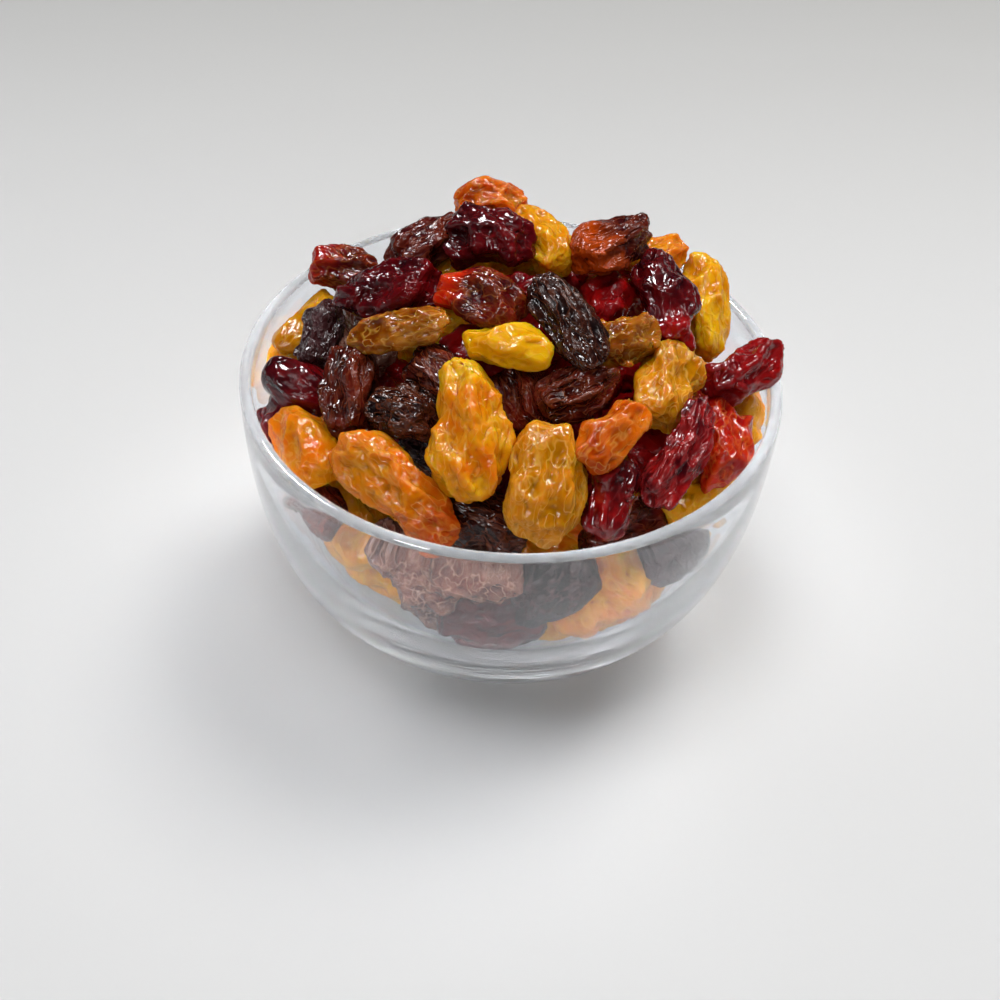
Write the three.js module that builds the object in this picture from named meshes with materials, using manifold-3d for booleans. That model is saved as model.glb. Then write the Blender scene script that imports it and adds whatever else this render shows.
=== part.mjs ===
// A small clear glass bowl heaped with mixed raisins.
// Millimetres, +Z up. The origin is the middle of the bowl's flat foot and +Y is the far side of the heap.
import * as THREE from 'three';
import { mergeVertices } from 'three/addons/utils/BufferGeometryUtils.js';
import Module from 'manifold-3d';

const wasm = await Module();
wasm.setup();

// Glass bowl
const rimRadius = 40;
const bowlHeight = 40;
const rimWall = 1.8;
const baseThickness = 3.2;
const footRadius = 20;
const wellRadius = 16;
const sideRoundness = 2.5;
const bottomRoundness = 2.5;
const bowlSides = 44;
const wallSteps = 7;
const rimSteps = 3;

// Heap: its skin stands this high over the rim, and meets the glass a little below it
const heapHeight = 22;
const heapEdge = -2;
const heapRadius = 38;
const heapLeanX = 4;
const heapLeanY = 4;

// Clearances
const pieceGap = 0.32;
const glassGap = 0.34;

// How raisins settle: how far they press on each other, how far those of a clump do, and how they move
const softPress = 0.7;
const clumpPress = 3.7;
const clumpReach = 1.5;
const clumpCount = 26;
const sizeCost = 10;
const stickyReach = 2.4;
const stickiness = 0.04;
const firmness = 0.45;
const wallFirmness = 0.6;
const sag = 0.03;
const neighbourReach = 2;
const neighbourRenewal = 12;
const settleSteps = 260;
const bondSteps = 120;
const partingReach = 3.5;
const joinCone = 0.8;
const joinShare = 0.58;
const halvings = 24;
const partingSteps = 10;
const topFreedom = 0.12;
const topPull = 0.05;
const listedPull = 0.04;
const leastArm = 0.5;
const probeStep = 0.25;

// Mesh of a raisin that lies open, of one that shows in part, and of one deep inside.
// A skin of few sides is made a little larger, because its flats lie inside the round,
// and its folds are shallower, so that the raisins of a clump hold together.
const skins = {
  open: { around: 12, along: 9, size: 1, leastSwell: 0.45 },
  partly: { around: 8, along: 6, size: 1.06, leastSwell: 0.68 },
  hidden: { around: 6, along: 4, size: 1.14, leastSwell: 0.85 },
};
const mostSwell = 1.3;

// Folds of a skin, as lowest and highest draws: depth of a furrow against its kind's, how far it strays
// round the raisin, how far the whole skin twists, how deep the ends are dimpled, and the size of the dents
const folds = {
  furrow: [0.7, 2.3],
  stray: [-0.15, 0.15],
  twist: [-0.45, 0.45],
  dimple: [0, 0.16],
  crumple: [-0.4, 0.4],
  dentAlong: [-0.7, 0.7],
  dentDepth: [-0.14, -0.38],
  lumpHeight: [0.7, 1.8],
  dentWidth: [0.34, 0.56],
};
// Broad waves of a skin: height, turns round the raisin and swing along it
const waves = [[0.5, 1, 2.1], [0.35, 2, -3.3], [0.3, 1, 4.6]];
// A furrow is this deep on average along the raisin, swings by this share, and so fast
const furrowMean = 0.65;
const furrowSwing = 0.35;
const furrowPace = 3.1;
const waistReach = 0.35;
const bendMiddle = 0.35;
const dimplePower = 10;
const lopsided = 0.1;

// Kinds of raisin: colour and gloss, thickness against breadth, depth of folds, lumps and dents, end shape
const kinds = {
  golden: { color: 0xd9a01c, roughness: 0.38, flat: 0.8, depth: 0.16, lump: 0.14, dents: 3, blunt: 0.66 },
  amber: { color: 0xc9711a, roughness: 0.35, flat: 0.82, depth: 0.16, lump: 0.15, dents: 3, blunt: 0.66 },
  ruby: { color: 0xa8260f, roughness: 0.3, flat: 0.85, depth: 0.13, lump: 0.14, dents: 3, blunt: 0.6 },
  crimson: { color: 0x5e0f1c, roughness: 0.26, flat: 0.85, depth: 0.15, lump: 0.14, dents: 3, blunt: 0.6 },
  brown: { color: 0x4a1d12, roughness: 0.45, flat: 0.85, depth: 0.24, lump: 0.15, dents: 4, blunt: 0.64 },
  black: { color: 0x1f1310, roughness: 0.45, flat: 0.88, depth: 0.24, lump: 0.12, dents: 3, blunt: 0.64 },
};

// Raisins on top of the heap, one piece each.
// Kind, x, y, heading in degrees, length, breadth, lift over the heap's skin, and what sets it apart.
// A raisin with a rise doesn't lie along the heap's slope: its long axis climbs by so many degrees.
const topRaisins = [
  ['amber', -4, 19, 7, 11.5, 8.6, 3.4, { rise: 0, lump: 0.2 }],
  ['golden', 3.8, 12, 112, 14, 9.6, -1, { rise: 0 }],
  ['crimson', -4, 7, 150, 13.5, 9.6, 1, { lump: 0.2, depth: 0.2 }],
  ['brown', -15, 11.5, 25, 12.2, 8.6, 0.5, {}],
  ['ruby', -27.2, 14.2, 170, 10.6, 9.2, 3, { rise: 0, waist: 0.1, lump: 0.2 }],
  ['crimson', -19.6, 1.2, 165, 18.8, 8.8, 0.5, { blunt: 0.5 }],
  ['golden', -33, 8.5, 35, 13, 8, 0.5, { flat: 0.6, blunt: 0.8 }],
  ['black', -31.5, 1, 74, 12, 8.4, 0, {}],
  ['amber', -15.2, -11.5, 175, 16, 6.6, -0.5, { taper: 0.16, flat: 0.65, blunt: 0.75 }],
  ['ruby', -3.5, -7, 157, 13.8, 8.4, 0, { lump: 0.18 }],
  ['black', 7.5, -12, 128, 15.5, 8.3, 0.5, { depth: 0.28 }],
  ['golden', -0.5, -15, 172, 12.4, 6.6, 1, { bend: 0.35, lump: 0.18 }],
  ['brown', 14, 10, 40, 14, 9.6, 1.5, { rise: 0, waist: 0.22, lump: 0.2 }],
  ['golden', 21, 16.5, 45, 12, 8, 1, { rise: 0, flat: 0.65 }],
  ['crimson', 23.3, 2.5, 117, 17.2, 9.4, 1, { waist: 0.25, waistAt: -0.4, lump: 0.18 }],
  ['golden', 30.2, 11, 97, 18.6, 9, 2.4, { rise: 22, lump: 0.18 }],
  ['amber', 19.5, -9, 37, 11.2, 7.8, -1.5, {}],
  ['amber', 23.5, -12.5, 82, 14.4, 10.4, 1, { waist: 0.22, lump: 0.2 }],
  ['crimson', 33, -4, 37, 14, 8, 4, { rise: 0, bend: 0.4, waist: 0.2, depth: 0.1 }],
  ['crimson', -33, -8, 152, 11.5, 8.4, 0.5, { rise: 0, depth: 0.06, lump: 0.06 }],
  ['brown', -24.8, -14.5, 77, 14.5, 9.8, 0.5, { depth: 0.3 }],
  ['brown', -14, -21, 155, 10.8, 8, 0, { dents: 5, bend: 0.4 }],
  ['brown', -15, -14, 127, 10.2, 7.8, 0, { lump: 0.2 }],
  ['amber', -4.2, -26, 91, 20.5, 10.8, 1.5, { waist: 0.2, waistAt: 0.55, lump: 0.18 }],
  ['brown', 9.8, -18.4, 35, 11.8, 7.8, -1, { depth: 0.28, lump: 0.2 }],
  ['amber', -30, -18.5, 125, 16.6, 8.6, 0, { depth: 0.1, taper: 0.14 }],
  ['amber', -15.7, -30, 133, 21.8, 9.2, 1, { depth: 0.2, lump: 0.18 }],
  ['golden', 5.3, -30, 91, 17.5, 10.8, 1.5, { waist: -0.1, flat: 0.7, depth: 0.12 }],
  ['amber', 11.2, -25, 60, 12, 7.2, 0.5, { taper: 0.12, blunt: 0.5 }],
  ['crimson', 14.5, -30.3, 92, 11.3, 7.8, 0, { depth: 0.26 }],
  ['brown', 23.6, -21.2, 84, 19.8, 7.4, 1, { depth: 0.3 }],
  ['ruby', 32.5, -15.3, 93, 14.4, 9.4, 1, { depth: 0.16, lump: 0.18 }],
  ['brown', -1.5, -34.3, 155, 12.6, 8.2, -1, { depth: 0.28, lump: 0.2 }],
];

// Raisins seen in the gaps between those, in the same columns. They grow into the clumps below.
const gapRaisins = [
  ['golden', -13.5, 21, 150, 11.5, 7.6, 1, {}],
  ['golden', -22, 15.5, 150, 12, 7.2, -1.5, {}],
  ['golden', -38, 5.5, 60, 10, 6.6, -1, {}],
  ['crimson', -38.5, -10.5, 122, 9.5, 6.4, -1, {}],
  ['brown', -24.5, -6, 150, 10.5, 7, -2.5, {}],
  ['crimson', -8.5, -13.5, 142, 10, 7, -3.5, {}],
  ['brown', 2.5, -20, 115, 10.5, 7.6, -3.5, {}],
  ['black', -13.6, -27.4, 155, 10, 7.2, -3.5, {}],
  ['golden', 29.5, -24, 42, 11, 7, -3.5, {}],
  ['brown', 20, -31, 28, 12.6, 8.6, -5.2, {}],
  ['crimson', 23, -20.5, 98, 11, 7, -3.5, {}],
  ['crimson', 17, 1, 70, 11.5, 7.2, -4, {}],
  ['brown', -31.5, -24, 140, 10, 6.6, -1.5, {}],
  ['crimson', 0, -26.5, 83, 11, 7.2, -5, {}],
  ['crimson', 0.5, 4, 160, 12, 8, -5, {}],
  ['brown', -25, 4, 100, 11, 7.4, -5, {}],
  ['crimson', -26.5, -14, 110, 11, 7.4, -5.4, {}],
];

// Raisins against the front of the glass: kind, bearing in degrees, height, lean from level, length, breadth
const glassRaisins = [
  ['golden', -137, 26.5, -20, 14, 8.4],
  ['brown', -115, 25.5, -12, 16, 11],
  ['golden', -128, 14, -10, 13, 8],
  ['crimson', -93, 20, 15, 15, 10.5],
  ['black', -77, 24.5, 30, 12, 9],
  ['amber', -62, 25, 12, 15.5, 11],
  ['golden', -45, 20.5, 25, 13, 9],
  ['golden', -66, 9.5, 8, 19, 8.5],
  ['black', -41, 28, 12, 12.5, 7.6],
  ['golden', -25, 29.5, 25, 12, 8],
  ['brown', -93, 31, 5, 13, 7.5],
  ['brown', -108, 11, -12, 14, 10],
];

// What fills the rest, in rings that then settle: under the heap's skin, against the glass and deep inside
const skinRings = [33.2, 24, 14, 5];
const ringPitch = 13;
const layerPitch = 9.4;
const skinDepth = 4.4;
const underDepth = 12.8;
const glassInset = 4.6;
const headingSpread = 80;
const leanSpread = 0.9;
const sizeSpread = 0.2;
const partlySize = { length: 15.5, breadth: 9.8, clear: 8.3 };
const hiddenSize = { length: 17.5, breadth: 12.5, clear: 10 };
const fillKinds = [
  'brown', 'crimson', 'amber', 'brown', 'black', 'ruby', 'crimson', 'brown', 'amber', 'golden',
];
const skinSlack = 0.1;
const innerInset = 0.8;
const innerPitch = 0.9;
const domeTilt = 2.5;

const up = new THREE.Vector3(0, 0, 1);
const radians = THREE.MathUtils.degToRad;

function between([low, high], random) {
  return low + (high - low) * random();
}

// Seeded random numbers, one stream for each raisin
function randomStream(seed) {
  let state = (seed * 2654435761 + 97) >>> 0;
  return function next() {
    state = (state + 0x6d2b79f5) >>> 0;
    let t = Math.imul(state ^ (state >>> 15), 1 | state);
    t = (t + Math.imul(t ^ (t >>> 7), 61 | t)) ^ t;
    return ((t ^ (t >>> 14)) >>> 0) / 4294967296;
  };
}

// Side of the bowl as a superellipse from the rim's edge down to the flat of the foot or the well
function wallCurve(topRadius, topHeight, flatRadius, flatHeight) {
  const points = [];
  for (let i = 0; i <= wallSteps; i += 1) {
    const angle = (i / wallSteps) * Math.PI / 2;
    const reach = i === wallSteps ? 0 : Math.cos(angle) ** (2 / sideRoundness);
    const drop = Math.sin(angle) ** (2 / bottomRoundness);
    const radius = flatRadius + (topRadius - flatRadius) * reach;
    const height = topHeight - (topHeight - flatHeight) * drop;
    points.push(new THREE.Vector2(radius, height));
  }
  return points;
}

const rimRound = rimWall / 2;
const shoulder = bowlHeight - rimRound;
const outerWall = wallCurve(rimRadius, shoulder, footRadius, 0);
const innerWall = wallCurve(rimRadius - rimWall, shoulder, wellRadius, baseThickness);

function bowlGeometry() {
  const points = [new THREE.Vector2(0, 0)];
  for (const point of [...outerWall].reverse()) {
    points.push(point);
  }
  for (let i = 1; i < rimSteps; i += 1) {
    const angle = (i / rimSteps) * Math.PI;
    const radius = rimRadius - rimRound + rimRound * Math.cos(angle);
    points.push(new THREE.Vector2(radius, shoulder + rimRound * Math.sin(angle)));
  }
  points.push(...innerWall, new THREE.Vector2(0, baseThickness));
  const geometry = new THREE.LatheGeometry(points, bowlSides);
  geometry.rotateX(Math.PI / 2);
  return geometry;
}

// Straight stretches of the inner wall, each as an outward normal and its distance from the origin
const wallFaces = innerWall.slice(1).map((low, i) => {
  const high = innerWall[i];
  const normal = new THREE.Vector2(high.y - low.y, low.x - high.x).normalize();
  return { normal, offset: normal.dot(high) - glassGap };
});
wallFaces.push({ normal: new THREE.Vector2(0, -1), offset: -baseThickness - glassGap });
const facetShrink = Math.cos(Math.PI / bowlSides);
const overRim = bowlHeight + glassGap;
const wallTurn = 0.22;
const heapFalloff = 1.2;

// How far a point is out of the room inside the glass: positive outside, negative inside
function outOfBowl(point) {
  const radius = Math.hypot(point.x, point.y) / facetShrink;
  if (point.z > overRim) {
    return radius - rimRadius;
  }
  let worst = -Infinity;
  for (const face of wallFaces) {
    worst = Math.max(worst, face.normal.x * radius + face.normal.y * point.z - face.offset);
  }
  return worst;
}

// Height of the heap's skin over the foot
function heapTop(x, y) {
  const inward = Math.max(0, 1 - Math.hypot(x, y) / heapRadius);
  const share = Math.hypot(x - heapLeanX * inward, y - heapLeanY * inward) / heapRadius;
  return bowlHeight + heapEdge + (heapHeight - heapEdge) * (1 - Math.min(share, heapFalloff) ** 2);
}

function heapNormal(x, y) {
  const step = 0.5;
  const slopeX = (heapTop(x + step, y) - heapTop(x - step, y)) / (2 * step);
  const slopeY = (heapTop(x, y + step) - heapTop(x, y - step)) / (2 * step);
  return new THREE.Vector3(-slopeX, -slopeY, 1).normalize();
}

// One raisin: its middle, its three axes, half its length, breadth and thickness
function makeRaisin(kind, centre, along, normal, length, breadth, special, seed, skin) {
  const style = { ...kinds[kind], bend: 0.12, taper: 0.06, waist: 0, waistAt: 0, ...special };
  const lengthAxis = along.clone();
  const thickAxis = normal.clone();
  if (style.rise === undefined) {
    lengthAxis.addScaledVector(normal, -along.dot(normal)).normalize();
  } else {
    lengthAxis.setZ(Math.tan(radians(style.rise))).normalize();
    thickAxis.addScaledVector(lengthAxis, -lengthAxis.dot(normal)).normalize();
  }
  const breadthAxis = new THREE.Vector3().crossVectors(thickAxis, lengthAxis);
  const half = [length / 2, breadth / 2, (breadth / 2) * style.flat];
  const axes = [lengthAxis, breadthAxis, thickAxis];
  const home = centre.clone();
  return { kind, centre, home, axes, half, style, seed, skin, freedom: 1, pull: 0, clump: -1 };
}

function headingVector(degrees) {
  return new THREE.Vector3(Math.cos(radians(degrees)), Math.sin(radians(degrees)), 0);
}

function onHeap(row, seed, skin) {
  const [kind, x, y, heading, length, breadth, lift, special] = row;
  const normal = heapNormal(x, y);
  const centre = new THREE.Vector3(x, y, heapTop(x, y));
  centre.addScaledVector(normal, lift - (breadth / 2) * kinds[kind].flat);
  return makeRaisin(kind, centre, headingVector(heading), normal, length, breadth, special, seed, skin);
}

function onGlass(row, seed) {
  const [kind, bearing, height, lean, length, breadth] = row;
  const outward = headingVector(bearing);
  const level = new THREE.Vector3().crossVectors(up, outward);
  const along = level.multiplyScalar(Math.cos(radians(lean))).addScaledVector(up, Math.sin(radians(lean)));
  const depth = (breadth / 2) * kinds[kind].flat;
  const centre = outward.clone().setZ(0).multiplyScalar(rimRadius).setZ(height);
  while (outOfBowl(centre) > -depth) {
    centre.addScaledVector(outward, -probeStep);
  }
  return makeRaisin(kind, centre, along, outward, length, breadth, {}, seed, 'partly');
}

// Half the extent of a raisin's ellipsoid along a direction
function extent(raisin, direction) {
  const a = raisin.half[0] * raisin.axes[0].dot(direction);
  const b = raisin.half[1] * raisin.axes[1].dot(direction);
  const c = raisin.half[2] * raisin.axes[2].dot(direction);
  return Math.sqrt(a * a + b * b + c * c);
}

// Point of a raisin's ellipsoid furthest along a direction, from its middle
function farPoint(raisin, direction) {
  const point = new THREE.Vector3();
  for (let k = 0; k < 3; k += 1) {
    point.addScaledVector(raisin.axes[k], raisin.half[k] ** 2 * raisin.axes[k].dot(direction));
  }
  return point.divideScalar(extent(raisin, direction));
}

// Direction that parts two raisins best, and the room between them along it: negative where they press
function parting(one, two) {
  const apart = new THREE.Vector3().subVectors(two.centre, one.centre);
  const distance = apart.length();
  const direction = apart.clone().divideScalar(distance);
  for (let i = 0; i < partingSteps; i += 1) {
    const pull = apart.clone().sub(farPoint(one, direction)).sub(farPoint(two, direction));
    pull.addScaledVector(direction, -pull.dot(direction)).divideScalar(distance);
    direction.add(pull).normalize();
  }
  const room = apart.dot(direction) - extent(one, direction) - extent(two, direction);
  return { direction, room };
}

// Pushes a raisin back inside the glass. It may touch the wall a little to either side of its middle.
function keepInBowl(raisin) {
  const bearing = Math.atan2(raisin.centre.y, raisin.centre.x);
  for (const turn of [-wallTurn, 0, wallTurn]) {
    for (const face of wallFaces) {
      const normal = new THREE.Vector3(Math.cos(bearing + turn), Math.sin(bearing + turn), 0);
      normal.multiplyScalar(face.normal.x).setZ(face.normal.y);
      const touch = farPoint(raisin, normal).add(raisin.centre);
      const excess = normal.dot(touch) - face.offset;
      if (excess > 0 && touch.z < overRim) {
        raisin.centre.addScaledVector(normal, -excess * wallFirmness);
      }
    }
  }
}

function near(one, two, margin) {
  return one.centre.distanceTo(two.centre) < one.half[0] + two.half[0] + margin;
}

function neighbours(raisins, bonded) {
  const pairs = [];
  for (let i = 0; i < raisins.length; i += 1) {
    for (let j = i + 1; j < raisins.length; j += 1) {
      if (near(raisins[i], raisins[j], neighbourReach)) {
        pairs.push({ one: raisins[i], two: raisins[j], bond: bonded.has(`${i} ${j}`) });
      }
    }
  }
  return pairs;
}

// Parts the raisins where they press too hard, pulls bonded ones together, and lets all sag
function settle(raisins, steps, bonds) {
  const bonded = new Set(bonds.map(([i, j]) => `${Math.min(i, j)} ${Math.max(i, j)}`));
  let pairs = [];
  for (let step = 0; step < steps; step += 1) {
    if (step % neighbourRenewal === 0) {
      pairs = neighbours(raisins, bonded);
    }
    for (const { one, two, bond } of pairs) {
      const { direction, room } = parting(one, two);
      const wanted = bond ? -clumpPress : -softPress;
      let hold = 0;
      if (room < wanted || bond) {
        hold = firmness;
      } else if (room < stickyReach) {
        hold = stickiness;
      }
      const move = (wanted - room) * hold;
      const share = one.freedom / (one.freedom + two.freedom);
      one.centre.addScaledVector(direction, -move * share);
      two.centre.addScaledVector(direction, move * (1 - share));
    }
    for (const raisin of raisins) {
      raisin.centre.lerp(raisin.home, raisin.pull);
      raisin.centre.z -= sag;
      keepInBowl(raisin);
    }
  }
}

// Radius of the room inside the glass at a height
function roomRadius(height) {
  const point = new THREE.Vector3(0, 0, height);
  while (outOfBowl(point) < 0) {
    point.x += probeStep;
  }
  return point.x;
}

// Points of a level ring, about evenly spaced. Odd rings are turned by half a space.
function ringPoints(radius, height, odd) {
  const count = Math.max(1, Math.floor((2 * Math.PI * radius) / ringPitch));
  return Array.from({ length: count }, (_, i) => {
    const angle = ((i + odd / 2) / count) * Math.PI * 2;
    return new THREE.Vector3(radius * Math.cos(angle), radius * Math.sin(angle), height);
  });
}

// Raisins by rule in all the room that the listed ones leave
function fillRaisins(listed) {
  const filled = [...listed];
  const offer = (place, skin, size) => {
    const free = filled.every((other) => other.centre.distanceTo(place) > size.clear);
    const under = place.z < heapTop(place.x, place.y) - skinDepth + skinSlack;
    if (free && under) {
      filled.push(fillRaisin(place, skin, size, filled.length + 1));
    }
  };
  for (const [depth, skin] of [[skinDepth, 'partly'], [underDepth, 'hidden']]) {
    skinRings.forEach((radius, ring) => {
      for (const point of ringPoints(radius, 0, ring % 2)) {
        offer(point.setZ(heapTop(point.x, point.y) - depth), skin, partlySize);
      }
    });
  }
  const lowest = baseThickness + glassInset;
  const layers = Math.floor((bowlHeight - skinDepth - lowest) / layerPitch);
  for (let layer = layers; layer >= 0; layer -= 1) {
    const height = lowest + layer * layerPitch;
    for (const point of ringPoints(roomRadius(height) - glassInset, height, layer % 2)) {
      offer(point, 'partly', partlySize);
    }
  }
  const topLayer = Math.floor((bowlHeight + heapHeight - lowest) / layerPitch);
  for (let layer = topLayer; layer >= 0; layer -= 1) {
    const height = lowest + layer * layerPitch;
    const widest = height < bowlHeight ? roomRadius(height) : heapRadius;
    const outermost = widest - glassInset - ringPitch * innerInset;
    for (let radius = outermost; radius > 0; radius -= ringPitch * innerPitch) {
      for (const point of ringPoints(radius, height, layer % 2)) {
        offer(point, 'hidden', hiddenSize);
      }
    }
  }
  return filled;
}

function fillRaisin(place, skin, size, seed) {
  const random = randomStream(seed);
  const bearing = THREE.MathUtils.radToDeg(Math.atan2(place.y, place.x));
  const along = headingVector(bearing + 90 + (random() - 0.5) * headingSpread);
  along.setZ((random() - 0.5) * leanSpread).normalize();
  const rise = Math.max(0, place.z - bowlHeight) * domeTilt;
  const outward = new THREE.Vector3(place.x, place.y, rise).normalize();
  const scale = 1 + (random() - 0.5) * sizeSpread;
  const length = size.length * scale;
  const breadth = size.breadth * scale;
  return makeRaisin('golden', place, along, outward, length, breadth, {}, seed, skin);
}

// Pairs of free raisins that are close enough to grow together
function touchingPairs(raisins) {
  const pairs = [];
  raisins.forEach((one, i) => {
    raisins.slice(i + 1).forEach((two, k) => {
      if (one.freedom === 1 && two.freedom === 1 && near(one, two, clumpReach)) {
        const { room } = parting(one, two);
        if (room < clumpReach) {
          pairs.push({ i, j: i + 1 + k, room });
        }
      }
    });
  });
  return pairs;
}

// A clump starts at each free raisin of the lists, and at those of the fill that are furthest from any clump
function seedClumps(raisins, listedCount) {
  const clumps = [];
  const start = (i, kind) => {
    raisins[i].clump = clumps.length;
    clumps.push({ kind, members: [i] });
  };
  const loose = [];
  raisins.forEach((raisin, i) => {
    if (i >= listedCount) {
      loose.push(i);
    } else if (raisin.freedom === 1) {
      start(i, raisin.kind);
    }
  });
  const seeded = () => raisins.filter((raisin) => raisin.clump >= 0);
  const gapTo = (i) => Math.min(...seeded().map((other) => other.centre.distanceTo(raisins[i].centre)));
  for (const kind of fillKinds) {
    const free = loose.filter((i) => raisins[i].clump < 0);
    start(free.reduce((best, i) => (gapTo(i) > gapTo(best) ? i : best)), kind);
  }
  return clumps;
}

// The smallest clump takes in the raisin that touches it closest, until none is left that touches one
function growClumps(raisins, clumps, touching) {
  const bonds = [];
  for (;;) {
    let best = null;
    for (const { i, j, room } of touching) {
      const one = raisins[i].clump;
      const two = raisins[j].clump;
      if ((one < 0) !== (two < 0)) {
        const clump = clumps[Math.max(one, two)];
        const cost = clump.members.length * sizeCost + room;
        if (!best || cost < best.cost) {
          best = { cost, clump, number: Math.max(one, two), added: one < 0 ? i : j, bond: [i, j] };
        }
      }
    }
    if (!best) {
      return bonds;
    }
    raisins[best.added].clump = best.number;
    best.clump.members.push(best.added);
    bonds.push(best.bond);
  }
}

// Touching clumps of one kind join, smallest first, until only so many clumps are left
function joinClumps(raisins, clumps, touching, bonds) {
  while (clumps.filter((clump) => clump.members.length > 0).length > clumpCount) {
    let best = null;
    for (const { i, j } of touching) {
      const one = clumps[raisins[i].clump];
      const two = clumps[raisins[j].clump];
      if (one !== two && one?.kind === two?.kind) {
        const size = one.members.length + two.members.length;
        if (!best || size < best.size) {
          best = { size, one, two, bond: [i, j] };
        }
      }
    }
    if (!best) {
      return;
    }
    for (const member of best.two.members) {
      raisins[member].clump = clumps.indexOf(best.one);
      best.one.members.push(member);
    }
    best.two.members = [];
    bonds.push(best.bond);
  }
}

// Gathers the free raisins into clumps of one kind, each held together by the bonds that it grew along
function gather(raisins, listedCount) {
  const touching = touchingPairs(raisins);
  const seeds = seedClumps(raisins, listedCount);
  const bonds = growClumps(raisins, seeds, touching);
  joinClumps(raisins, seeds, touching, bonds);
  const clumps = seeds.filter((clump) => clump.members.length > 0);
  for (const { kind, members } of clumps) {
    for (const i of members) {
      raisins[i].kind = kind;
      raisins[i].style = { ...raisins[i].style, ...kinds[kind] };
    }
  }
  return { clumps, bonds };
}

// Folded skin of one raisin: moves the points of a unit sphere, whose poles are the raisin's ends
function foldSkin(raisin) {
  const { style, half } = raisin;
  const { around, along, size, leastSwell } = skins[raisin.skin];
  const geometry = new THREE.SphereGeometry(1, around, along);
  geometry.rotateZ(-Math.PI / 2);
  geometry.deleteAttribute('normal');
  geometry.deleteAttribute('uv');
  const skin = mergeVertices(geometry, 1e-4);
  const random = randomStream(raisin.seed + 500);
  const draw = (range) => between(range, random);
  const phases = Array.from({ length: 6 }, () => draw([0, Math.PI * 2]));
  const furrows = Array.from({ length: around }, () => style.depth * draw(folds.furrow));
  const strays = Array.from({ length: around }, () => draw(folds.stray));
  const twist = draw(folds.twist);
  const ends = [draw(folds.dimple), draw(folds.dimple)];
  const dents = Array.from({ length: style.dents * 2 }, (_, i) => {
    const direction = new THREE.Vector3(draw(folds.dentAlong), draw([-1, 1]), draw([-1, 1]));
    const rise = i % 2 === 0 ? draw(folds.dentDepth) : style.lump * draw(folds.lumpHeight);
    return { direction: direction.normalize(), rise, width: draw(folds.dentWidth) };
  });
  const position = skin.getAttribute('position');
  const point = new THREE.Vector3();
  for (let i = 0; i < position.count; i += 1) {
    point.fromBufferAttribute(position, i);
    const u = THREE.MathUtils.clamp(point.x, -1, 1);
    const turn = Math.atan2(point.z, point.y);
    const meridian = Math.round(((turn + Math.PI * 2) / (Math.PI * 2)) * around) % around;
    const round = Math.sqrt(Math.max(0, 1 - u * u));
    const fade = furrowMean + furrowSwing * Math.sin(furrowPace * u + phases[0] + meridian);
    const furrow = meridian % 2 === 1 ? furrows[meridian] * fade : 0;
    let swell = size - furrow + style.depth * draw(folds.crumple);
    waves.forEach(([height, turns, swing], k) => {
      swell += style.lump * height * Math.sin(turns * turn + swing * u + phases[k + 1]);
    });
    for (const dent of dents) {
      const angle = Math.acos(THREE.MathUtils.clamp(point.dot(dent.direction), -1, 1));
      swell += dent.rise * Math.exp(-((angle / dent.width) ** 2));
    }
    swell = THREE.MathUtils.clamp(swell, leastSwell, mostSwell);
    const pinch = 1 - style.waist * Math.exp(-(((u - style.waistAt) / waistReach) ** 2));
    const ring = round ** style.blunt * swell * pinch * (1 + style.taper * u * Math.sin(phases[4]));
    const spun = turn + twist * u + strays[meridian];
    const dimple = 1 - ends[u > 0 ? 1 : 0] * u ** dimplePower;
    const x = u * half[0] * dimple * (size + lopsided * Math.sin(turn * 2 + phases[5]) * round);
    const y = ring * half[1] * Math.cos(spun) + style.bend * half[1] * (u * u - bendMiddle);
    const z = ring * half[2] * Math.sin(spun);
    position.setXYZ(i, x, y, z);
  }
  return skin;
}

// Raisins of one clump that this one grew from or that grew from it: their direction, and how far to reach
function joins(raisins, index, bonds) {
  return bonds.filter((bond) => bond.includes(index)).map(([i, j]) => {
    const direction = raisins[i === index ? j : i].centre.clone().sub(raisins[index].centre);
    const reach = direction.length() * joinShare;
    return { direction: direction.normalize(), reach };
  });
}

// Turns a folded skin into its place, and presses it flat against its neighbours and the glass
function placeSkin(raisins, index, bonds) {
  const raisin = raisins[index];
  const skin = foldSkin(raisin);
  const planes = partingPlanes(raisins, index);
  const grown = joins(raisins, index, bonds);
  const position = skin.getAttribute('position');
  const point = new THREE.Vector3();
  for (let i = 0; i < position.count; i += 1) {
    const arm = new THREE.Vector3();
    arm.addScaledVector(raisin.axes[0], position.getX(i));
    arm.addScaledVector(raisin.axes[1], position.getY(i));
    arm.addScaledVector(raisin.axes[2], position.getZ(i));
    let scale = 1;
    for (const { direction, reach } of grown) {
      const along = arm.dot(direction);
      if (along > joinCone * arm.length()) {
        scale = Math.max(scale, reach / along);
      }
    }
    for (const { direction, limit } of planes) {
      const along = arm.dot(direction);
      if (along * scale > limit) {
        scale = limit / along;
      }
    }
    position.setXYZ(i, ...pressOnGlass(raisin.centre, arm, scale, point).toArray());
  }
  return skin;
}

// End of an arm from a raisin's middle, drawn in by halving until it is inside the glass
function pressOnGlass(centre, arm, scale, point) {
  point.copy(centre).addScaledVector(arm, scale);
  if (outOfBowl(point) <= 0) {
    return point;
  }
  let low = 0;
  let high = scale;
  for (let k = 0; k < halvings; k += 1) {
    const middle = (low + high) / 2;
    point.copy(centre).addScaledVector(arm, middle);
    if (outOfBowl(point) > 0) {
      high = middle;
    } else {
      low = middle;
    }
  }
  return point.copy(centre).addScaledVector(arm, low);
}

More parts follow.
